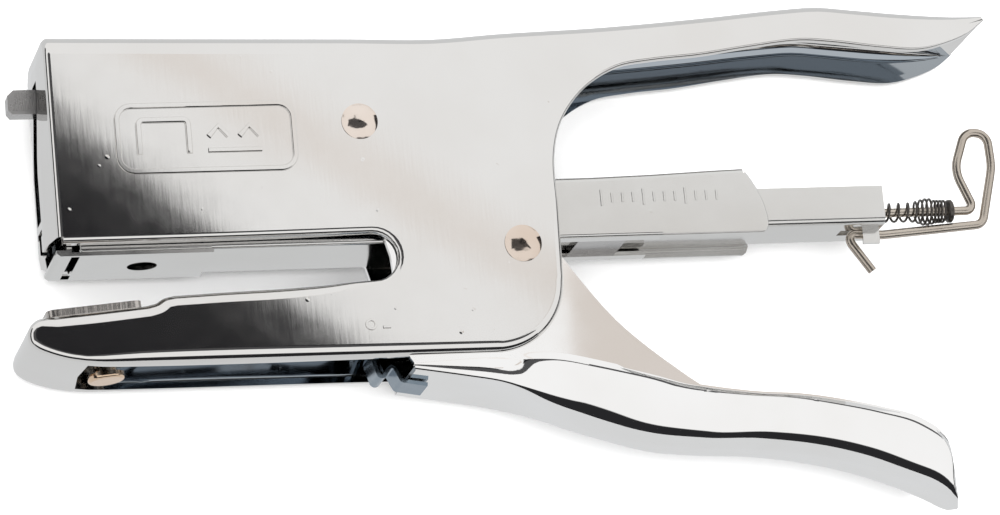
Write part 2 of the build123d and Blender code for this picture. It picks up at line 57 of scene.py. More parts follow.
scene = bpy.context.scene

MM = 0.001
Z_MID = 11.0
SHEET = 1.0
FRAME_HALF = 9.8
EAR_HALF = 8.5
LEVER_HALF = 1.5
MAGAZINE_PIVOT = (24.9, -21.0)


def unit(value):
    """The value, held between 0 and 1."""
    return min(1.0, max(0.0, value))


# ---- materials ----------------------------------------------------------------------------
# Noise is sized in cells per metre. An edge is the pair of values between which a ramp changes colour.
BLACK = (0, 0, 0)
WHITE = (1, 1, 1)
WAVE_CELLS = 90
GRAIN_CELLS = 1500
GRAIN_STRETCH = {"y": (1.0, 0.09, 1.0), "x": (0.09, 1.0, 1.0), "cross": (1.0, 0.05, 0.05)}
SPECK_CELLS = 330
SPECK_EDGE = (0.0, 0.13)
PATCH_CELLS = 160
PATCH_EDGE = (0.60, 0.63)
STAIN_CELLS = 60
STAIN_EDGE = (0.35, 0.7)
SMEAR_CELLS = 300
SMEAR_LOW = 0.7
SMEAR_HIGH = 1.5
# Painted shade: faces at least this far from the middle plane that face towards it get a darker colour.
SHADED_INNER_HALF = 6.0


def new_material(name, colour, metallic, roughness):
    """A principled material, with its node tree and shader."""
    mat = bpy.data.materials.new(name)
    mat.use_nodes = True
    tree = mat.node_tree
    shader = tree.nodes["Principled BSDF"]
    shader.inputs["Base Color"].default_value = (*colour, 1.0)
    shader.inputs["Metallic"].default_value = metallic
    shader.inputs["Roughness"].default_value = roughness
    return mat, tree, shader


def coords(tree, kind="Object"):
    """A place, or with "Normal" a facing, in the object's own space."""
    return tree.nodes.new("ShaderNodeTexCoord").outputs[kind]


def maths(tree, operation, *values):
    """The output of a maths node. Each value is a number or the output of another node."""
    node = tree.nodes.new("ShaderNodeMath")
    node.operation = operation
    for socket, value in zip(node.inputs, values):
        if isinstance(value, bpy.types.NodeSocket):
            tree.links.new(value, socket)
        else:
            socket.default_value = value
    return node.outputs["Value"]


def noise(tree, cells, detail, stretch=(1, 1, 1)):
    """Noise in object space, with so many cells per metre before the stretch."""
    mapping = tree.nodes.new("ShaderNodeMapping")
    mapping.inputs["Scale"].default_value = stretch
    texture = tree.nodes.new("ShaderNodeTexNoise")
    texture.inputs["Scale"].default_value = cells
    texture.inputs["Detail"].default_value = detail
    tree.links.new(coords(tree), mapping.inputs["Vector"])
    tree.links.new(mapping.outputs["Vector"], texture.inputs["Vector"])
    return texture.outputs["Fac"]


def ramp(tree, value, edge, first=BLACK, last=WHITE):
    """A colour that goes from first to last while the value crosses the edge."""
    node = tree.nodes.new("ShaderNodeValToRGB")
    for element, position, colour in zip(node.color_ramp.elements, edge, (first, last)):
        element.position = position
        element.color = (*colour, 1)
    tree.links.new(value, node.inputs["Fac"])
    return node.outputs["Color"]


def bump(tree, height, relief, normal=None):
    """A bump node on top of another. relief is in millimetres."""
    node = tree.nodes.new("ShaderNodeBump")
    node.inputs["Distance"].default_value = relief * MM
    node.inputs["Strength"].default_value = 1.0
    tree.links.new(height, node.inputs["Height"])
    if normal is not None:
        tree.links.new(normal, node.inputs["Normal"])
    return node.outputs["Normal"]


def painted_shade_side(tree):
    """1 on the inner faces of the side plates, which get a darker colour as painted shade, and 0 outside."""
    facing = tree.nodes.new("ShaderNodeSeparateXYZ")
    place = tree.nodes.new("ShaderNodeSeparateXYZ")
    tree.links.new(coords(tree, "Normal"), facing.inputs[0])
    tree.links.new(coords(tree), place.inputs[0])
    across = maths(tree, "SUBTRACT", place.outputs["Z"], Z_MID * MM)
    outwards = maths(tree, "MULTIPLY", across, facing.outputs["Z"])
    return maths(tree, "LESS_THAN", outwards, -SHADED_INNER_HALF * MM)


def plated(name, colour, roughness, tint, wave, cells=WAVE_CELLS, grain=0.0, grain_axis="y", specks=0.0,
           inner_shade_colour=None):
    """Bright plating on metal: slow waves, fine drawn grain, small specks, slight stains and, where asked,
    painted shade on inner faces.

    wave, grain and specks are heights in millimetres. tint is the stains' colour. The inner-face colour is
    painted shade: it darkens the inner faces of the side plates in place of the shade inside the frame.
    """
    mat, tree, shader = new_material(name, colour, 1.0, roughness)
    normal = bump(tree, noise(tree, cells, 1.0), wave)
    if grain:
        normal = bump(tree, noise(tree, GRAIN_CELLS, 3.0, GRAIN_STRETCH[grain_axis]), grain, normal)
    if specks:
        dots = tree.nodes.new("ShaderNodeTexVoronoi")
        dots.inputs["Scale"].default_value = SPECK_CELLS
        tree.links.new(coords(tree), dots.inputs["Vector"])
        round_dots = ramp(tree, dots.outputs["Distance"], SPECK_EDGE, WHITE, BLACK)
        patches = ramp(tree, noise(tree, PATCH_CELLS, 0.0), PATCH_EDGE)
        normal = bump(tree, maths(tree, "MULTIPLY", round_dots, patches), specks, normal)
    tree.links.new(normal, shader.inputs["Normal"])
    stains_and_shade = ramp(tree, noise(tree, STAIN_CELLS, 3.0), STAIN_EDGE, colour, tint)
    # Painted shade: the inner faces of the side plates get a darker colour, standing in for the shade inside
    # the frame.
    if inner_shade_colour is not None:
        mix = tree.nodes.new("ShaderNodeMix")
        mix.data_type = "RGBA"
        mix.inputs["B"].default_value = (*inner_shade_colour, 1)
        tree.links.new(painted_shade_side(tree), mix.inputs["Factor"])
        tree.links.new(stains_and_shade, mix.inputs["A"])
        stains_and_shade = mix.outputs["Result"]
    tree.links.new(stains_and_shade, shader.inputs["Base Color"])
    smear = tree.nodes.new("ShaderNodeMapRange")
    smear.inputs["To Min"].default_value = roughness * SMEAR_LOW
    smear.inputs["To Max"].default_value = roughness * SMEAR_HIGH
    tree.links.new(noise(tree, SMEAR_CELLS, 4.0), smear.inputs["Value"])
    tree.links.new(smear.outputs["Result"], shader.inputs["Roughness"])
    return mat


# frame_chrome's inner-face colour is painted shade, darkening the inside of the side plates.
FINISHES = {
    "frame_chrome": dict(colour=(0.81, 0.80, 0.785), tint=(0.785, 0.77, 0.75), roughness=0.05,
                         wave=0.008, grain=0.0011, specks=0.01, inner_shade_colour=(0.40, 0.44, 0.48)),
    "handle_chrome": dict(colour=(0.95, 0.945, 0.94), tint=(0.91, 0.90, 0.885), roughness=0.04,
                          wave=0.005, grain=0.0004, grain_axis="x"),
    "magazine_plate": dict(colour=(0.73, 0.725, 0.71), tint=(0.70, 0.69, 0.67), roughness=0.12,
                           wave=0.004, grain=0.0006, grain_axis="x", specks=0.004),
    "inner_steel": dict(colour=(0.55, 0.54, 0.53), tint=(0.42, 0.41, 0.41), roughness=0.24,
                        wave=0.01, grain=0.002),
    "rivet_nickel": dict(colour=(0.85, 0.76, 0.69), tint=(0.72, 0.59, 0.49), roughness=0.11,
                         wave=0.24, cells=420),
    "anvil_steel": dict(colour=(0.62, 0.59, 0.56), tint=(0.36, 0.33, 0.31), roughness=0.22,
                        wave=0.01, grain=0.06, grain_axis="cross"),
    "anvil_copper": dict(colour=(0.86, 0.66, 0.50), tint=(0.66, 0.48, 0.32), roughness=0.12,
                         wave=0.02),
    "blued_spring": dict(colour=(0.40, 0.47, 0.53), tint=(0.22, 0.28, 0.34), roughness=0.18,
                         wave=0.01, grain=0.001),
    "wire_nickel": dict(colour=(0.62, 0.56, 0.49), tint=(0.48, 0.42, 0.36), roughness=0.20,
                        wave=0.006, grain=0.001, grain_axis="x"),
    "spring_wire": dict(colour=(0.13, 0.12, 0.11), tint=(0.07, 0.06, 0.055), roughness=0.28,
                        wave=0.004),
}
mats = {name: plated(name, **finish) for name, finish in FINISHES.items()}
for part in frame["record"]["subparts"]:
    obj = nodes[part["node"]]
    obj.data.materials.clear()
    obj.data.materials.append(mats[part["material_slot"]])


# ---- mesh tools ---------------------------------------------------------------------------
MERGE_WITHIN = 0.004
DISSOLVE_WITHIN = 0.002
BEVEL_FROM = 50
FLAT_WEIGHT = 60


def spread(points, step):
    """Points along a smooth curve through the given ones, about step apart in the first two numbers."""
    pts = np.array(points, float)
    ends = np.vstack([2 * pts[0] - pts[1], pts, 2 * pts[-1] - pts[-2]])
    out = []
    for k in range(len(pts) - 1):
        earlier, start, end, later = ends[k:k + 4]
        reach = np.linalg.norm((end - start)[:2])
        before = np.linalg.norm((start - earlier)[:2]) or reach
        after = np.linalg.norm((later - end)[:2]) or reach
        leaving = ((start - earlier) / before + (end - start) / reach) / 2 * reach
        arriving = ((end - start) / reach + (later - end) / after) / 2 * reach
        parts = max(1, round(float(reach) / step))
        for t in np.arange(parts) / parts:
            out.append((2 * t**3 - 3 * t**2 + 1) * start + (t**3 - 2 * t**2 + t) * leaving
                       + (3 * t**2 - 2 * t**3) * end + (t**3 - t**2) * arriving)
    out.append(pts[-1])
    return np.array(out)


def arc(centre, radius, start, end, count):
    """Points on a circle from one angle to another, in degrees."""
    angles = np.radians(np.linspace(start, end, count))
    return np.column_stack([centre[0] + radius * np.cos(angles), centre[1] + radius * np.sin(angles)])


def outward(points):
    """Unit normals on the right-hand side of a run of points."""
    ways = np.gradient(points[:, :2], axis=0)
    ways /= np.linalg.norm(ways, axis=1)[:, None]
    return np.column_stack([ways[:, 1], -ways[:, 0]])


def cell_sides(i, j):
    """Each side of a grid's cell: the cell beyond it, its two corners, and the grid's side there."""
    return (((i - 1, j), (i, j + 1), (i, j), "first"),
            ((i + 1, j), (i + 1, j), (i + 1, j + 1), "last"),
            ((i, j - 1), (i, j), (i + 1, j), "left"),
            ((i, j + 1), (i + 1, j + 1), (i, j + 1), "right"))


class Sheet:
    """Gathers the faces of one piece of metal, in millimetres about the middle plane."""

    def __init__(self, mirrored=True):
        self.bm = bmesh.new()
        self.mirrored = mirrored

    def face(self, points):
        """One face and, on a mirrored piece, its twin across the middle plane."""
        sides = (1, -1) if self.mirrored else (1,)
        for side in sides:
            corners = points if side == 1 else points[::-1]
            verts = [self.bm.verts.new((p[0], p[1], p[2] * side)) for p in corners]
            self.bm.faces.new(verts)

    def shell(self, outer, inner, keep=None, joined=()):
        """Both skins between two grids of points, and the cut edges of the sheet round them.

        keep tells which cells are metal. joined names the sides of the grid that go on in another
        grid: "first" and "last" row, "left" and "right" column.
        """
        rows, cols = len(outer) - 1, len(outer[0]) - 1

        def inside(i, j):
            return 0 <= i < rows and 0 <= j < cols

        def there(i, j):
            return inside(i, j) and (keep is None or keep(i, j))

        for i in range(rows):
            for j in range(cols):
                if not there(i, j):
                    continue
                self.face([outer[i][j], outer[i + 1][j], outer[i + 1][j + 1], outer[i][j + 1]])
                self.face([inner[i][j], inner[i][j + 1], inner[i + 1][j + 1], inner[i + 1][j]])
                for beyond, a, b, side in cell_sides(i, j):
                    if there(*beyond) or (side in joined and not inside(*beyond)):
                        continue
                    rim = [outer[a[0]][a[1]], outer[b[0]][b[1]], inner[b[0]][b[1]], inner[a[0]][a[1]]]
                    if any(abs(p[2]) >= 1e-6 for p in rim):
                        self.face(rim[::-1])

    def piece(self, name, slot, body, replaces=(), edge=0.1, angle=38.0):
        """Cleans the mesh, turns it into metres and adds it as a piece."""
        bm = self.bm
        bmesh.ops.remove_doubles(bm, verts=bm.verts, dist=MERGE_WITHIN)
        bmesh.ops.dissolve_degenerate(bm, edges=bm.edges, dist=DISSOLVE_WITHIN)
        loose = [v for v in bm.verts if not v.link_faces]
        bmesh.ops.delete(bm, geom=loose, context="VERTS")
        bmesh.ops.recalc_face_normals(bm, faces=bm.faces)
        for vert in bm.verts:
            vert.co = Vector((vert.co.x, vert.co.y, vert.co.z + Z_MID)) * MM
        mesh = bpy.data.meshes.new(name)
        bm.to_mesh(mesh)
        bm.free()
        return add_piece(name, mesh, slot, body, replaces, edge, angle)


def add_piece(name, mesh, slot, body, replaces=(), edge=0.1, angle=38.0, weighted=True):
    """Links a finished mesh as a piece with its finish, soft cut edges and clean shading.

    edge is the width of the softened edges in millimetres, and shading breaks past the angle.
    """
    obj = bpy.data.objects.new(name, mesh)
    scene.collection.objects.link(obj)
    mesh.materials.append(mats[slot])
    for poly in mesh.polygons:
        poly.use_smooth = True
    mesh.set_sharp_from_angle(angle=math.radians(angle))
    if edge:
        bevel = obj.modifiers.new("cut_edges", "BEVEL")
        bevel.width = edge * MM
        bevel.segments = 2
        bevel.limit_method = "ANGLE"
        bevel.angle_limit = math.radians(BEVEL_FROM)
        bevel.use_clamp_overlap = True
        bevel.harden_normals = False
    if weighted:
        flat = obj.modifiers.new("flat_faces", "WEIGHTED_NORMAL")
        flat.keep_sharp = True
        flat.weight = FLAT_WEIGHT
    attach(obj, body)
    if replaces:
        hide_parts(*replaces)
    return obj


# ---- main frame: one folded sheet ------------------------------------------------------------
FOLD_STEPS = 6
FOLD_TURNS = [math.pi / 2 * k / FOLD_STEPS for k in range(FOLD_STEPS + 1)]
FLANGE_STEPS = 6
LEAST_FLANGE = 0.05
LEAST_BEND = 0.03
CLOSED = 99.0
HEAD_FRONT = -50.0
HEAD_BOTTOM = -18.6
SPINE_BEND = 3.5
SPINE_LEVEL = 15.9
FRONT_BEND = 1.05
FRONT_INNER_BEND = 0.05
CORNER_Y = SPINE_LEVEL - SPINE_BEND
CORNER_H = FRAME_HALF - SPINE_BEND
CREST_HALF = 3.0
SLOT_HALF = 2.0
GUIDE_HALF = 1.0
SLOT_TOP = 10.4
SLOT_BOTTOM = -12.9
GUIDE_TOP = -14.2
NOTCH_BOTTOM = -15.2
FRONT_LEVELS = [-17.7, -16.4, NOTCH_BOTTOM, GUIDE_TOP, SLOT_BOTTOM, -9.0, -5.0, -2.0, 2.0, 5.0, 8.0,
                SLOT_TOP, 12.4]
CREST_TOP = 0.35
CREST_MORE = 0.75
CREST_START = 8.0
CREST_RUN = 12.0
CREST_FADE = 2.4
SEAT_MIDDLE = (-43.0, -29.42)
SEAT_SLOPE = 0.0836
THROAT_CENTRE = (0.5, -22.3)
THROAT_RADIUS = 3.9
REAR_CENTRE = (19.3, -26.6)
REAR_RADIUS = 12.0


def flange_levels(start, end):
    """Distances from the middle plane across a flange."""
    if end > 0.01 or start < CREST_HALF + 0.5:
        return [start + (end - start) * k / FLANGE_STEPS for k in range(1, FLANGE_STEPS + 1)]
    third = (start - CREST_HALF) / 3
    return [start - third, start - 2 * third, CREST_HALF, SLOT_HALF, GUIDE_HALF, 0.0]


def folded_edge(stations, half=FRAME_HALF, wall=SHEET):
    """Outer and inner grids of a folded edge. A station is (x, y, bend radius, flange width).

    A CLOSED flange reaches the middle plane.
    """
    outer, inner = [], []
    for (x, y, bend, width), (nx, ny) in zip(stations, outward(stations)):
        width = max(width, wall + LEAST_FLANGE - bend)
        core = max(bend, wall)
        inner_bend = max(bend - wall, LEAST_BEND)
        end = max(half - bend - width, 0.0)
        out_row = [(-bend + bend * math.sin(turn), half - bend + bend * math.cos(turn))
                   for turn in FOLD_TURNS]
        in_row = [(-core, half - core)] * len(FOLD_TURNS)
        if bend > wall:
            in_row = [(-core + inner_bend * math.sin(turn), half - core + inner_bend * math.cos(turn))
                      for turn in FOLD_TURNS]
        in_shift, in_start = in_row[-1]
        for level in flange_levels(half - bend, end):
            out_row.append((0.0, level))
            in_row.append((in_shift, min(level, in_start)))
        outer.append([(x + nx * n, y + ny * n, h) for n, h in out_row])
        inner.append([(x + nx * n, y + ny * n, h) for n, h in in_row])
    return outer, inner


def closed(points):
    """Stations with closed flanges, from (x, y, bend radius)."""
    return [(x, y, bend, CLOSED) for x, y, bend in points]


def seat_level(x):
    """The anvil seat's y at x."""
    return SEAT_MIDDLE[1] + SEAT_SLOPE * (x - SEAT_MIDDLE[0])


def frame_border():
    """Stations round the frame's open side, from the head's front corner to the upper handle's end."""
    head_low = spread([(HEAD_FRONT + FRONT_BEND, HEAD_BOTTOM, 0.9, 1.3), (-30, HEAD_BOTTOM, 0.9, 1.3),
                       (-12, -18.5, 0.9, 1.2), (-3, -18.42, 0.9, 0.6), (0.5, -18.4, 0.9, 0.3)], 3.0)
    throat = [(*p, 0.9, 0.3) for p in arc(THROAT_CENTRE, THROAT_RADIUS, 78, -78, 14)]
    jaw = spread([(0.5, -26.2, 0.9, 0.3), (-3.0, -26.3, 1.2, 1.0), (-7.0, -26.5, 1.8, 3.0),
                  (-14, -26.8, 2.1, 3.6), (-24, -27.1, 2.1, 3.6), (-31.6, -27.4, 2.1, 3.6)], 1.5)
    step = spread(closed([(-32.0, -27.42, 2.1), (-33.6, -27.8, 2.1), (-34.8, -28.5, 2.2),
                          (-36.4, seat_level(-36.4), 2.3)]), 0.5)
    seat = spread(closed([(-37.0, seat_level(-37), 2.3), (-45, seat_level(-45), 2.4),
                          (-51, seat_level(-51), 2.3)]), 2.0)
    nose = spread(closed([(-52.4, -30.3, 2.0), (-53.9, -30.75, 1.6), (-55.0, -31.7, 1.3),
                          (-55.55, -33.1, 1.2), (-55.4, -34.5, 1.2), (-54.4, -35.6, 1.2),
                          (-52.6, -36.5, 1.1), (-49.5, -37.5, 1.05), (-46.8, -38.0, 1.05)]), 0.5)
    jaw_low = spread([(-46.2, -38.07, 1.1, 1.5), (-44.0, -38.3, 1.4, 1.2), (-38, -38.45, 1.9, 0.8),
                      (-2, -38.6, 1.9, 0.6), (8, -38.6, 1.8, 0.2), (19.3, -38.6, 1.7, 0.1)], 3.0)
    corner = [(*p, 1.6, 0.1) for p in arc(REAR_CENTRE, REAR_RADIUS, -86, -4, 22)]
    handle_low = spread([(31.3, -26.6, 1.4, 0.1), (31.5, -15, 1.1, 0.2), (31.7, -6, 0.9, 0.2),
                         (33.4, -0.5, 0.8, 0.3), (37.7, 4.9, 0.6, 0.5), (43.4, 8.2, 0.45, 0.7),
                         (49.3, 9.2, 0.4, 0.9), (57.4, 9.9, 0.4, 1.0), (66.0, 11.1, 0.4, 1.0),
                         (74.6, 12.0, 0.4, 1.0), (80.0, 11.6, 0.4, 1.0), (88.0, 10.5, 0.4, 1.0),
                         (95.0, 10.0, 0.4, 0.9), (100.1, 11.2, 0.35, 0.8), (103.6, 12.7, 0.3, 0.75),
                         (106.4, 14.75, 0.3, 0.75)], 1.2)
    return np.vstack([head_low, throat, jaw, step, seat, nose, jaw_low, corner, handle_low])


def spine_grids():
    """Both skins of the closed spine, from the upper handle's end to the head's front."""
    curve = spread(closed([(106.2, 15.6, 0.8), (101.5, 16.0, 2.2), (93.0, 17.0, SPINE_BEND),
                           (84.5, 17.9, SPINE_BEND), (78.5, 18.5, SPINE_BEND), (72.5, 18.2, SPINE_BEND),
                           (58.8, 17.0, SPINE_BEND), (41.9, 15.8, SPINE_BEND), (25.0, 15.1, SPINE_BEND),
                           (13.5, 14.4, SPINE_BEND), (0, 14.75, SPINE_BEND), (-24, 15.3, SPINE_BEND),
                           (-45, 15.8, SPINE_BEND),
                           (HEAD_FRONT + FRONT_BEND, SPINE_LEVEL, SPINE_BEND)]), 2.0)
    outer, inner = folded_edge(curve)
    square_end = np.array(closed([(HEAD_FRONT + 2.0, SPINE_LEVEL, SPINE_BEND),
                                  (HEAD_FRONT + FRONT_BEND, SPINE_LEVEL, SPINE_BEND)]))
    end_out, end_in = folded_edge(square_end)
    outer[-1], inner[-1] = end_out[-1], end_in[-1]
    return outer, inner


def front_bend():
    """Both skins of the bend round the head's front: up the side, round the soft corner, along the top."""
    border = [((y, FRAME_HALF), (0.0, -1.0)) for y in FRONT_LEVELS]
    for turn in FOLD_TURNS[1:]:
        way = (-math.sin(turn), -math.cos(turn))
        border.append(((CORNER_Y - SPINE_BEND * way[0], CORNER_H - SPINE_BEND * way[1]), way))
    for level in flange_levels(CORNER_H, 0.0):
        border.append(((SPINE_LEVEL, level), (-1.0, 0.0)))
    outer, inner = [], []
    for (y, h), (to_y, to_h) in border:
        out_row, in_row = [], []
        for turn in FOLD_TURNS:
            depth = FRONT_BEND * (1 - math.cos(turn))
            x = HEAD_FRONT + FRONT_BEND * (1 - math.sin(turn))
            out_row.append((x, y + to_y * depth, h + to_h * depth))
            depth = SHEET + FRONT_INNER_BEND * (1 - math.cos(turn))
            x = HEAD_FRONT + FRONT_BEND - FRONT_INNER_BEND * math.sin(turn)
            in_row.append((x, y + to_y * depth, h + to_h * depth))
        outer.append(out_row)
        inner.append(in_row)
    return outer, inner


def front_panel(bend):
    """Both skins of the front's panel. Its crest starts flush at the top and stands out lower down."""
    outer, inner = [], []
    top = CORNER_Y + SPINE_BEND - FRONT_BEND
    for row in bend[:len(FRONT_LEVELS) + FOLD_STEPS]:
        _, y, edge = row[-1]
        crest = (CREST_TOP + CREST_MORE * unit((CREST_START - y) / CREST_RUN)) * unit((top - y) / CREST_FADE)
        out_row = [row[-1]]
        for level in flange_levels(edge, 0.0):
            share = min(1.0, (edge - level) / (edge - CREST_HALF))
            out_row.append((HEAD_FRONT - crest * share, y, level))
        outer.append(out_row)
        inner.append([(px + SHEET, py, ph) for px, py, ph in out_row])
    return outer, inner


def make_frame():
    """The folded frame: two side plates, the closed spine, the head's front and the jaw."""
    sheet = Sheet()
    around_out, around_in = folded_edge(frame_border())
    sheet.shell(around_out, around_in, joined=("left",))
    spine_out, spine_in = spine_grids()
    sheet.shell(spine_out, spine_in, joined=("left", "last"))
    bend_out, bend_in = front_bend()
    sheet.shell(bend_out, bend_in, joined=("left", "right", "last"))
    panel_out, panel_in = front_panel(bend_out)

    def keep(i, j):
        """Metal all over but in the tongue's slot, the notch below it and the narrower guide slot."""
        middle = (panel_out[i][0][1] + panel_out[i + 1][0][1]) / 2
        level = panel_out[i][j][2]
        if level <= SLOT_HALF and (SLOT_BOTTOM < middle < SLOT_TOP or NOTCH_BOTTOM < middle < GUIDE_TOP):
            return False
        return not (level <= GUIDE_HALF and middle < GUIDE_TOP)

    sheet.shell(panel_out, panel_in, keep, joined=("left", "last"))

    plate_out = [row[0] for row in around_out] + [row[0] for row in spine_out]
    plate_in = [row[0] for row in around_in] + [row[0] for row in spine_in]
    front_out = [bend_out[k][0] for k in range(len(FRONT_LEVELS))][::-1]
    front_in = [bend_in[k][0] for k in range(len(FRONT_LEVELS))][::-1]
    sheet.face([p[:2] + (FRAME_HALF,) for p in plate_out + front_out[1:-1]])
    sheet.face([p[:2] + (FRAME_HALF - SHEET,) for p in plate_in + front_in[1:-1]][::-1])
    sheet.piece("frame_sheet", "frame_chrome", "frame", ["main_frame"])


make_frame()


# ---- squeeze handle ---------------------------------------------------------------------------
# Each station: the bottom's x and y, the crease's x and y, the belly's radius, half the flat width
# of the bottom, and how far the shoulder stands out below the crease.
HANDLE_STATIONS = [
    (5.9, -40.9, 5.6, -39.6, 0.9, 7.6, 0.0),
    (14.5, -42.4, 14.0, -39.0, 0.9, 7.6, 0.0),
    (20.0, -43.5, 19.0, -38.7, 1.0, 7.4, 0.0),
    (23.5, -44.7, 23.0, -38.6, 1.6, 6.2, 0.0),
    (28.0, -47.0, 29.5, -38.9, 4.2, 2.6, 0.25),
    (32.5, -49.2, 36.0, -40.4, 6.4, 0.0, 0.5),
    (37.4, -51.0, 44.0, -42.6, 6.4, 0.0, 0.6),
    (45.5, -53.1, 51.0, -44.7, 5.2, 0.0, 0.6),
    (53.0, -54.0, 60.5, -46.3, 4.6, 0.0, 0.6),
    (62.0, -54.6, 68.5, -47.0, 5.3, 0.0, 0.6),
    (70.3, -55.7, 75.0, -48.1, 5.2, 0.0, 0.6),
    (78.5, -57.7, 82.0, -49.7, 5.2, 0.0, 0.6),
    (86.7, -60.8, 88.6, -52.0, 5.2, 0.0, 0.5),
    (91.5, -63.0, 92.6, -55.6, 5.0, 0.0, 0.4),
    (95.4, -65.2, 94.5, -62.2, 3.6, 0.0, 0.2),
]
EAR_OUTLINE = [(52.0, -44.95), (48.9, -42.5), (44.4, -38.8), (39.3, -33.9), (34.4, -27.6), (31.0, -22.5),
               (22.0, -8.0), (15.0, 3.5), (11.0, 6.6), (2.0, 6.2), (-4.4, 4.0), (-5.4, 0.0), (-4.4, -5.0),
               (0.5, -14.0), (3.4, -22.0), (3.2, -34.0), (4.6, -38.0)]
HANDLE_WALL = 1.0
SIDE_TURN = math.radians(24)
BELLY_STEPS = 13
SIDE_STEPS = 10
EARS_END = 23.5
BELLY_GROWS = 8.0
TIP_LENGTH = 6.5
TIP_NARROW = 0.07
TIP_ROUND = 0.93
FULL_WALL_HALF = 8.0
MOST_BEND = 0.75
FULL_CREASE_DEPTH = 6
CREASE_DROP = 0.35
SHOULDER_START = (0.35, 0.6)
SHOULDER_END = 1.15
SIDE_LEAN = 0.2
TOP_PULL = 0.14
FOOT_PULL = 0.6


def straight_side(start, bend):
    """The side's slope, and the flat width of the bottom that it leads to."""
    turn = SIDE_TURN
    while True:
        run = (start[1] - bend * (1 - math.sin(turn))) * math.tan(turn)
        flat = start[0] - run - bend * math.cos(turn)
        if flat >= 0 or turn < 0.1:
            return turn, max(flat, 0.0)
        turn -= math.radians(0.5)


def handle_section(station, squeeze):
    """One half of a cross-section, from the crease to the middle of the bottom."""
    bottom, crease = np.array(station[0:2]), np.array(station[2:4])
    bend, flat, shoulder = station[4:]
    flat = max(flat, 0.0)
    straight = unit((bottom[0] - EARS_END) / BELLY_GROWS)
    depth = float(np.linalg.norm(crease - bottom))
    up = (crease - bottom) / depth
    bend = min(bend, depth * MOST_BEND)
    start = np.array([EAR_HALF, depth])
    short = min(1.0, depth / FULL_CREASE_DEPTH)
    first = [start, start - (0, CREASE_DROP * short),
             start + (shoulder * SHOULDER_START[0], -SHOULDER_START[1] * short),
             start + (shoulder, -SHOULDER_END * short)]
    slope, wide = straight_side(first[-1], bend)
    slope = SIDE_TURN + straight * (slope - SIDE_TURN)
    flat = flat + straight * (wide - flat)
    belly = [np.array([flat + bend * math.cos(turn), bend - bend * math.sin(turn)])
             for turn in np.linspace(slope, math.pi / 2, BELLY_STEPS)]
    top, foot = first[-1], belly[0]
    reach = np.linalg.norm(foot - top)
    lean = SIDE_LEAN * slope * straight
    below_top = top + np.array([-math.sin(lean), -math.cos(lean)]) * reach * TOP_PULL
    above_foot = foot - np.array([-math.sin(slope), -math.cos(slope)]) * reach * FOOT_PULL
    side = [(1 - t)**3 * top + 3 * (1 - t)**2 * t * below_top + 3 * (1 - t) * t**2 * above_foot + t**3 * foot
            for t in np.linspace(0, 1, SIDE_STEPS)[1:-1]]
    edge = flat if flat > 0.05 else belly[-1][0]
    level = [np.array([edge * k / 4, 0.0]) for k in (3, 2, 1, 0)]
    return [(*(bottom + up * rise), h * squeeze) for h, rise in first + side + belly + level]


def grid_normals(grid):
    """Unit normals of a grid of points, all on one side of it."""
    along = np.gradient(grid, axis=0)
    across = np.gradient(grid, axis=1)
    normal = np.cross(along, across)
    size = np.linalg.norm(normal, axis=2, keepdims=True)
    return normal / np.maximum(size, 1e-9)


def handle_grids():
    """Both skins of half the trough. Its end narrows to a rounded tip with a thinner wall."""
    stations = spread(HANDLE_STATIONS, 0.9)
    rows = []
    for station in stations:
        left = max(0.0, stations[-1][0] - station[0])
        squeeze = 1.0
        if left <= TIP_LENGTH:
            squeeze = math.sqrt(max(0.0, 1 - (1 - left / TIP_LENGTH)**2)) * TIP_ROUND + TIP_NARROW
        rows.append(handle_section(station, squeeze))
    grid = np.array(rows)
    normals = grid_normals(grid)
    if normals[len(rows) // 2, 4, 2] < 0:
        normals = -normals
    normals[:, 0] = (0, 0, 1)
    normals[:, -1, 2] = 0
    normals[:, -1] /= np.linalg.norm(normals[:, -1], axis=1)[:, None]
    walls = HANDLE_WALL * np.minimum(1.0, np.max(grid[:, :, 2], axis=1) / FULL_WALL_HALF)**2
    inner = grid - normals * walls[:, None, None]
    inner[:, :, 2] = np.maximum(inner[:, :, 2], 0.0)
    return grid, inner


def make_handle():
    """The squeeze handle: two ears that run into a pressed trough with a round belly."""
    sheet = Sheet()
    grid, inner_grid = handle_grids()
    ear_end = int(np.argmin(abs(grid[:, 0, 0] - EAR_OUTLINE[0][0])))
    outer = [[tuple(p) for p in row] for row in grid]
    inner = [[tuple(p) for p in row] for row in inner_grid]
    sheet.shell(outer[:ear_end + 1], inner[:ear_end + 1], joined=("left", "last"))
    sheet.shell(outer[ear_end:], inner[ear_end:], joined=("first",))
    crease = [row[0][:2] for row in outer[:ear_end + 1]]
    border = [tuple(p) for p in spread(EAR_OUTLINE, 2.5)[1:]]
    high = EAR_HALF
    low = EAR_HALF - HANDLE_WALL
    sheet.face([(x, y, high) for x, y in crease + border])
    sheet.face([(x, y, low) for x, y in crease + border][::-1])
    rim = [crease[-1]] + border + [crease[0]]
    for (ax, ay), (bx, by) in zip(rim[:-1], rim[1:]):
        sheet.face([(ax, ay, high), (ax, ay, low), (bx, by, low), (bx, by, high)])
    sheet.piece("handle_sheet", "handle_chrome", "handle", ["squeeze_handle"], edge=0.15)


make_handle()


# ---- rivets ------------------------------------------------------------------------------------
# A rivet's heights start at the surface that the stapler lies on.
ROUND_STEPS = 48
DOME_STEPS = 14
DOME_RISE = 1.06
DOME_FOOT = 0.12
SHANK_RADIUS = 2.2


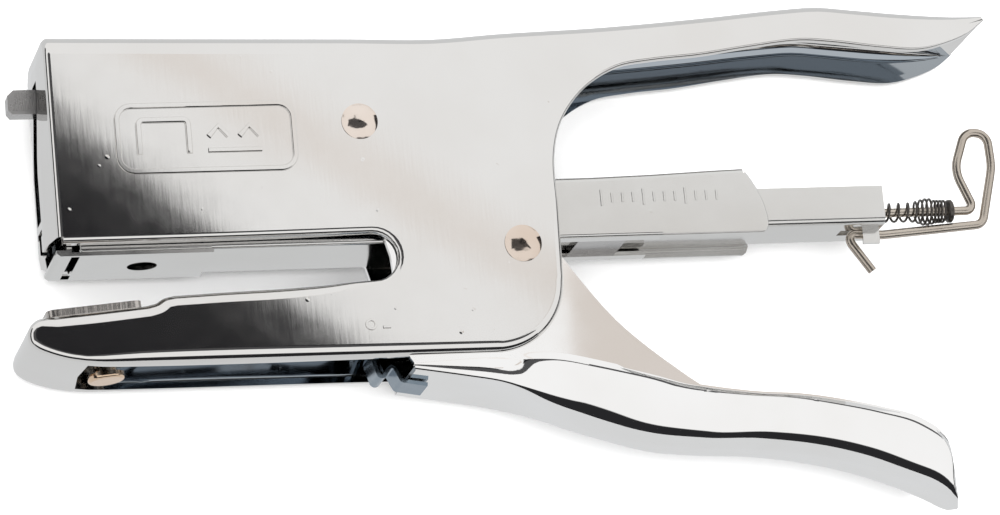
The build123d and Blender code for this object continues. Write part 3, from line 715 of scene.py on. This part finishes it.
def turned(name, centre, profile, slot, body, replaces):
    """A turned piece from (radius, height) points, from the axis outwards and back to it."""
    bm = bmesh.new()
    rings = []
    for radius, height in profile:
        if radius < 1e-6:
            rings.append([bm.verts.new((0, 0, height))])
        else:
            turns = [2 * math.pi * k / ROUND_STEPS for k in range(ROUND_STEPS)]
            rings.append([bm.verts.new((radius * math.cos(turn), radius * math.sin(turn), height))
                          for turn in turns])
    for low, high in zip(rings[:-1], rings[1:]):
        for k in range(ROUND_STEPS):
            beside = (k + 1) % ROUND_STEPS
            corners = [low[k % len(low)], low[beside % len(low)],
                       high[beside % len(high)], high[k % len(high)]]
            bm.faces.new(list(dict.fromkeys(corners)))
    bmesh.ops.recalc_face_normals(bm, faces=bm.faces)
    for vert in bm.verts:
        vert.co = (vert.co + Vector((*centre, 0))) * MM
    mesh = bpy.data.meshes.new(name)
    bm.to_mesh(mesh)
    bm.free()
    add_piece(name, mesh, slot, body, replaces, edge=0, weighted=False)


def make_rivet(name, centre, head, node):
    """A rivet with a bright domed near head, a shank and a flat far head."""
    near = Z_MID + FRAME_HALF
    far = Z_MID - FRAME_HALF
    far_head = [(0, 0), (head - 0.5, 0), (head - 0.1, 0.3), (head, 0.7), (head, far)]
    shank = [(SHANK_RADIUS, far), (SHANK_RADIUS, near)]
    profile = far_head + shank + [(head, near), (head, near + DOME_FOOT)]
    ball = (head**2 + DOME_RISE**2) / (2 * DOME_RISE)
    widest = math.asin(head / ball)
    for k in range(1, DOME_STEPS):
        turn = widest * (1 - k / DOME_STEPS)
        profile.append((ball * math.sin(turn), near + DOME_FOOT + DOME_RISE - ball * (1 - math.cos(turn))))
    profile.append((0, near + DOME_FOOT + DOME_RISE))
    turned(name, centre, profile, "rivet_nickel", "frame", [node])


make_rivet("pivot_rivet_bright", (0.0, 0.0), 2.95, "pivot_rivet")
make_rivet("magazine_rivet_bright", MAGAZINE_PIVOT, 3.03, "magazine_rivet")


# ---- magazine channel ---------------------------------------------------------------------------
# A bend radius and a flange width, for a cut edge, a turned-in lip and the closed underside.
CHANNEL_HALF = 7.2
CHANNEL_WALL = 0.7
CHANNEL_TOP = -9.5
CHANNEL_BOTTOM = -19.6
TOP_BEND = 0.9
TAB_RADIUS = 4.2
PLAIN = (0.25, 0.5)
LIP = (0.55, 2.1)
UNDERSIDE = (0.55, CLOSED)


def make_channel():
    """The magazine: a folded channel with turned-in lips, pivot tabs and a flared tail."""
    sheet = Sheet()
    nose = [(-46.1, -10.6), (-46.1, -15.0), (-46.1, -19.2), (-45.7, CHANNEL_BOTTOM),
            (-34.0, CHANNEL_BOTTOM), (-25.1, CHANNEL_BOTTOM)]
    tail = [(48.9, CHANNEL_BOTTOM), (58.0, CHANNEL_BOTTOM), (65.8, CHANNEL_BOTTOM), (66.4, -19.2),
            (66.8, -18.2), (66.7, -16.6), (66.2, -14.4), (65.3, -12.0), (64.3, -10.2), (63.7, -9.3)]
    run = [(*p, *PLAIN) for p in nose]
    run += [(x, CHANNEL_BOTTOM, *UNDERSIDE) for x in (-25.0, -15.0, -5.0, 5.0)]
    run += [(x, CHANNEL_BOTTOM, *LIP) for x in (5.1, 10.0, 20.6)]
    run += [(20.7, CHANNEL_BOTTOM, *PLAIN)]
    run += [(*p, *PLAIN) for p in arc(MAGAZINE_PIVOT, TAB_RADIUS, 164, 376, 26)]
    run += [(29.15, CHANNEL_BOTTOM, *PLAIN)]
    run += [(x, CHANNEL_BOTTOM, *LIP) for x in (29.25, 36.0, 42.0, 48.8)]
    run += [(*p, *PLAIN) for p in tail]
    low_out, low_in = folded_edge(np.array(run), CHANNEL_HALF, CHANNEL_WALL)
    sheet.shell(low_out, low_in, joined=("left",))
    ridge = [(63.3, -8.65), (58.0, -8.8), (48.0, -9.2), (38.0, -9.45)]
    ridge += [(x, CHANNEL_TOP) for x in (30.0, 15.0, 0.0, -15.0, -30.0, -46.1)]
    top_out, top_in = folded_edge(np.array(closed([(x, y, TOP_BEND) for x, y in ridge])),
                                  CHANNEL_HALF, CHANNEL_WALL)
    sheet.shell(top_out, top_in, joined=("left",))
    sheet.face([row[0][:2] + (CHANNEL_HALF,) for row in low_out + top_out])
    sheet.face([row[0][:2] + (CHANNEL_HALF - CHANNEL_WALL,) for row in low_in + top_in][::-1])
    sheet.piece("magazine_sheet", "magazine_plate", "magazine", ["magazine_channel"], edge=0.08)


make_channel()


# ---- raised marks ---------------------------------------------------------------------------------
SUNK = 0.1
TICKS_Y = -13.1
TONGUE_LINES = np.arange(-54.1, -51.2, 0.55)
TICKS = np.arange(39.2, 60.0, 1.75)


def ribbon(sheet, path, width, plate, rise, closed_loop=False):
    """A line raised from a plate, with sloping sides, along a path of (x, y) points."""
    base, top = plate - SUNK, plate + rise
    pts = np.array(path, float)
    if closed_loop:
        ways = np.roll(pts, -1, axis=0) - np.roll(pts, 1, axis=0)
    else:
        ways = np.gradient(pts, axis=0)
    ways /= np.linalg.norm(ways, axis=1)[:, None]
    normals = np.column_stack([ways[:, 1], -ways[:, 0]])
    section = [(-width / 2, base), (-width / 2, (base + top) / 2), (-width * 0.32, top),
               (width * 0.32, top), (width / 2, (base + top) / 2), (width / 2, base)]
    rows = [[(*(p + n * s), h) for s, h in section] for p, n in zip(pts, normals)]
    pairs = list(zip(rows[:-1], rows[1:]))
    if closed_loop:
        pairs.append((rows[-1], rows[0]))
    for row, ahead in pairs:
        for k in range(len(section)):
            m = (k + 1) % len(section)
            sheet.face([row[k], row[m], ahead[m], ahead[k]])
    if not closed_loop:
        sheet.face(rows[0])
        sheet.face(rows[-1][::-1])


def rounded(x_range, y_range, radius):
    """Points round a rectangle with soft corners."""
    (x0, x1), (y0, y1) = x_range, y_range
    corners = [((x1 - radius, y0 + radius), -90), ((x1 - radius, y1 - radius), 0),
               ((x0 + radius, y1 - radius), 90), ((x0 + radius, y0 + radius), 180)]
    return np.vstack([arc(c, radius, start, start + 90, 9) for c, start in corners])


def make_badge():
    """A plain badge on the head: a rounded panel with a staple, two peaks and a bar."""
    badge = Sheet(mirrored=False)
    ribbon(badge, rounded((-39.2, -10.8), (-7.4, 3.4), 2.4), 0.9, FRAME_HALF, 0.36, True)
    staple = [(-35.8, -4.6)] + [tuple(p) for p in arc((-35.0, 0.2), 0.8, 180, 90, 6)]
    staple += [tuple(p) for p in arc((-28.6, 0.2), 0.8, 90, 0, 6)] + [(-27.8, -4.6)]
    ribbon(badge, staple, 0.95, FRAME_HALF, 0.42)
    for start, end in ((-24.6, -21.4), (-19.6, -16.4)):
        ribbon(badge, [(start, -1.9), ((start + end) / 2, -0.2), (end, -1.9)], 0.9, FRAME_HALF, 0.38)
    ribbon(badge, [(-24.8, -4.2), (-20.5, -4.2), (-16.2, -4.2)], 0.8, FRAME_HALF, 0.34)
    badge.piece("plain_badge", "frame_chrome", "frame", edge=0)


def make_hatch():
    """The slanting ribs on the tongue's near face."""
    hatch = Sheet(mirrored=False)
    for x in TONGUE_LINES:
        ribbon(hatch, [(x, 5.7), (x + 0.25, 7.1), (x + 0.5, 8.6)], 0.3, LEVER_HALF, 0.12)
    hatch.piece("tongue_hatch", "inner_steel", "handle", edge=0)


def make_jaw_mark():
    """A small ring and dash on the jaw."""
    mark = Sheet(mirrored=False)
    ribbon(mark, arc((-1.0, -33.6), 0.75, 0, 345, 24), 0.45, FRAME_HALF, 0.22, True)
    ribbon(mark, [(0.9, -34.1), (1.5, -34.1), (2.1, -34.1)], 0.5, FRAME_HALF, 0.22)
    mark.piece("jaw_mark", "frame_chrome", "frame", edge=0)


def make_ticks():
    """A row of tick marks on the magazine, every fourth one longer."""
    ticks = Sheet(mirrored=False)
    for number, x in enumerate(TICKS):
        reach = 1.35 if number % 4 == 0 else 0.8
        ribbon(ticks, [(x, TICKS_Y - reach), (x, TICKS_Y), (x, TICKS_Y + reach)], 0.42, CHANNEL_HALF, 0.09)
    ticks.piece("magazine_ticks", "magazine_plate", "magazine", edge=0)


make_badge()
make_hatch()
make_jaw_mark()
make_ticks()


# ---- pusher spring ----------------------------------------------------------------------------------
ROD_Y = -15.0
SPRING_WIRE_RADIUS = 0.2
SPRING_SIDES = 8
STEPS_PER_TURN = 22
# Along the spring: x, the number of turns so far, and the coil's radius.
SPRING_KNOTS = np.array([
    (-32.6, 0.0, 1.4), (-32.2, 1.0, 1.42), (-31.7, 2.0, 1.45), (82.0, 30.0, 1.45), (86.0, 32.0, 1.45),
    (93.4, 36.6, 1.5), (94.5, 37.6, 1.8), (95.4, 38.8, 2.1), (96.4, 40.2, 2.1), (97.2, 41.2, 1.8),
    (99.1, 44.6, 1.75)])


def make_spring():
    """The long wire spring on the rod, close and wider towards its rear end."""
    knot_x, knot_turns, knot_radii = SPRING_KNOTS.T
    turns = np.arange(0, knot_turns[-1], 1 / STEPS_PER_TURN)
    xs = np.interp(turns, knot_turns, knot_x)
    radii = np.interp(turns, knot_turns, knot_radii)
    angles = turns * 2 * math.pi
    line = np.column_stack([xs, ROD_Y + radii * np.sin(angles), radii * np.cos(angles)])
    ways = np.gradient(line, axis=0)
    ways /= np.linalg.norm(ways, axis=1)[:, None]
    sheet = Sheet(mirrored=False)
    around = [2 * math.pi * k / SPRING_SIDES for k in range(SPRING_SIDES)]
    rings = []
    for p, way, angle in zip(line, ways, angles):
        out = np.array([0.0, math.sin(angle), math.cos(angle)])
        out = out - way * float(out @ way)
        out /= np.linalg.norm(out)
        up = np.cross(way, out)
        rings.append([sheet.bm.verts.new(p + SPRING_WIRE_RADIUS * (math.cos(a) * out + math.sin(a) * up))
                      for a in around])
    for low, high in zip(rings[:-1], rings[1:]):
        for k in range(SPRING_SIDES):
            beside = (k + 1) % SPRING_SIDES
            sheet.bm.faces.new([low[k], low[beside], high[beside], high[k]])
    sheet.bm.faces.new(rings[0][::-1])
    sheet.bm.faces.new(rings[-1])
    return sheet.piece("coil_spring", "spring_wire", "pusher", ["pusher_spring"], edge=0, angle=80)


coil = make_spring()
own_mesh(coil)


# ---- studio -------------------------------------------------------------------------------
DARK = (0.022, 0.022, 0.024)
DIM = (0.08, 0.08, 0.083)
CARD_H = 0.86
OUTER_CARD_H = CARD_H + 0.01
FLAG_FOOT = 0.02
FLAG_FADE = 0.06
ROOM = (-4, 4)
CLOTH_CELLS = 45


def level_points(points, height):
    """The given (x, y) points at one height."""
    return [(x, y, height) for x, y in points]


def rectangle(x_range, y_range, height):
    """Corners of a level rectangle."""
    (x0, x1), (y0, y1) = x_range, y_range
    return level_points([(x0, y0), (x1, y0), (x1, y1), (x0, y1)], height)


def soft_box(name, place, target, size, power):
    """A square soft box that doesn't show in reflections."""
    data = bpy.data.lights.new(name, "AREA")
    data.energy = power
    data.size = size
    box = bpy.data.objects.new(name, data)
    box.location = place
    box.rotation_mode = "QUATERNION"
    box.rotation_quaternion = (Vector(target) - Vector(place)).to_track_quat("-Z", "Y")
    box.visible_glossy = False
    scene.collection.objects.link(box)


def card(name, corners, colour, fade_from, fade_to, strength=1.0, ragged=0.0):
    """A studio card that only shows in reflections.

    It is clear up to the line through fade_from and full from fade_to on. ragged makes the fade
    uneven, like the edge of a cloth.
    """
    mat = bpy.data.materials.new(name)
    mat.use_nodes = True
    tree = mat.node_tree
    tree.nodes.clear()
    out = tree.nodes.new("ShaderNodeOutputMaterial")
    mix = tree.nodes.new("ShaderNodeMixShader")
    clear = tree.nodes.new("ShaderNodeBsdfTransparent")
    glow = tree.nodes.new("ShaderNodeEmission")
    glow.inputs["Color"].default_value = (*colour, 1)
    start, end = Vector(fade_from), Vector(fade_to)
    way = (end - start) / (end - start).length_squared
    along = tree.nodes.new("ShaderNodeVectorMath")
    along.operation = "DOT_PRODUCT"
    along.inputs[1].default_value = way
    tree.links.new(coords(tree), along.inputs[0])
    uneven = maths(tree, "MULTIPLY_ADD", noise(tree, CLOTH_CELLS, 3.0), ragged * 4, along.outputs["Value"])
    fade = tree.nodes.new("ShaderNodeMapRange")
    fade.interpolation_type = "SMOOTHSTEP"
    fade.inputs["From Min"].default_value = start.dot(way)
    fade.inputs["From Max"].default_value = start.dot(way) + 1.0
    fade.inputs["To Max"].default_value = strength
    tree.links.new(maths(tree, "SUBTRACT", uneven, ragged * 2), fade.inputs["Value"])
    tree.links.new(fade.outputs["Result"], mix.inputs["Fac"])
    tree.links.new(clear.outputs["BSDF"], mix.inputs[1])
    tree.links.new(glow.outputs["Emission"], mix.inputs[2])
    tree.links.new(mix.outputs["Shader"], out.inputs["Surface"])
    mesh = bpy.data.meshes.new(name)
    mesh.from_pydata(corners, [], [tuple(range(len(corners)))])
    mesh.materials.append(mat)
    board = bpy.data.objects.new(name, mesh)
    scene.collection.objects.link(board)
    board.visible_camera = False
    board.visible_diffuse = False
    board.visible_shadow = False
    board.visible_transmission = False


def standing_flag(name, start, end, top):
    """A dark card that stands between two (x, y) points and fades out at its top."""
    corners = level_points((start, end), FLAG_FOOT) + level_points((end, start), top)
    card(name, corners, DARK, (0, 0, top), (0, 0, top - FLAG_FADE))


floor_mesh = bpy.data.meshes.new("floor")
floor_mesh.from_pydata(rectangle(ROOM, ROOM, 0), [], [(0, 1, 2, 3)])
floor = bpy.data.objects.new("floor", floor_mesh)
scene.collection.objects.link(floor)
floor_mat, _, _ = new_material("floor_paper", (0.95, 0.95, 0.95), 0.0, 0.9)
floor_mesh.materials.append(floor_mat)
floor.visible_glossy = False

world = bpy.data.worlds.new("studio")
scene.world = world
world.use_nodes = True
background = world.node_tree.nodes["Background"]
background.inputs["Color"].default_value = (1, 1, 1, 1)
background.inputs["Strength"].default_value = 0.95
soft_box("softbox_top", (0.1, 0.1, 1.7), (0.02, -0.02, 0), 2.4, 62)

card("table_in_reflections", rectangle(ROOM, ROOM, -0.002), (0.70, 0.71, 0.72), (-9, 0, 0), (-8, 0, 0))
card("flag_overhead", level_points([(0.0, 0.06), (0.3115, 0.06), (0.0, 0.346)], CARD_H),
     DARK, (0.1360, 0.2264, CARD_H), (0.1313, 0.2212, CARD_H), ragged=0.6)
card("flag_outer",
     level_points([(-0.70, -0.25), (0.66, -0.25), (-0.125, 0.474), (-0.70, 0.474)], OUTER_CARD_H),
     DIM, (0.1230, 0.2124, OUTER_CARD_H), (0.1097, 0.1976, OUTER_CARD_H))
standing_flag("flag_low_front", (-0.9, -0.75), (1.1, -0.75), 0.52)
card("warm_ear", rectangle((0.2495, 0.34), (0.15, 0.2095), CARD_H),
     (0.66, 0.60, 0.55), (0.24, 0.19, CARD_H), (0.25, 0.19, CARD_H), strength=0.9)
card("warm_band", level_points([(0.104, 0.286), (0.244, 0.192), (0.256, 0.210), (0.116, 0.304)], CARD_H),
     (0.80, 0.72, 0.66), (0.1864, 0.2579, CARD_H), (0.1796, 0.2478, CARD_H), strength=0.55)
standing_flag("flag_low_left", (-0.8, -0.75), (-0.8, 0.75), 0.36)
standing_flag("flag_low_right", (0.9, -0.75), (0.9, 0.5), 0.26)


# ---- camera -------------------------------------------------------------------------------
camera_data = bpy.data.cameras.new("camera")
camera_data.sensor_width = 36.0
camera_data.lens = 200.88
camera_data.clip_start = 0.05
camera_data.clip_end = 20.0
camera = bpy.data.objects.new("camera", camera_data)
scene.collection.objects.link(camera)
camera.matrix_world = Matrix((
    (0.972457, 0.029711, -0.231181, -0.184768),
    (-0.091198, 0.961271, -0.260080, -0.254627),
    (0.214500, 0.274000, 0.937504, 0.854754),
    (0, 0, 0, 1)))
scene.camera = camera
scene.view_settings.view_transform = "Standard"
